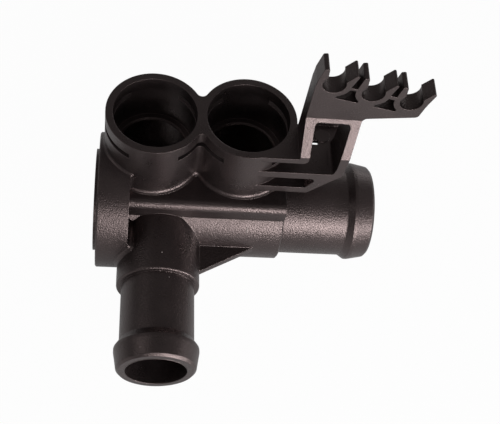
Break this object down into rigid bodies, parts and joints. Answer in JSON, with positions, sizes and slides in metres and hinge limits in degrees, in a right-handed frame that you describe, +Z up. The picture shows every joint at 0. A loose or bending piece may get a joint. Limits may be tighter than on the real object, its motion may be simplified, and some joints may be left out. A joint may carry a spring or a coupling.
{
  "type": "coolant flange",
  "caption": "Moulded plastic coolant pipe flange with a beaded hose stub, a beaded side branch, twin upright sensor ports and a ribbed arm of open pipe clips.",
  "frame": {"origin": "centre of the main bore, in the plane of the disc's mating face", "axes": "+X along the main tube to the hose end, +Z up along the sensor ports, -Y along the branch stub"},
  "size_m": [0.0983, 0.0838, 0.0933],
  "materials": {
    "moulding": "satin, finely textured black-brown glass-filled moulding"
  },
  "bodies": {
    "root": {"flange": "moulding"}
  },
  "joints": []
}
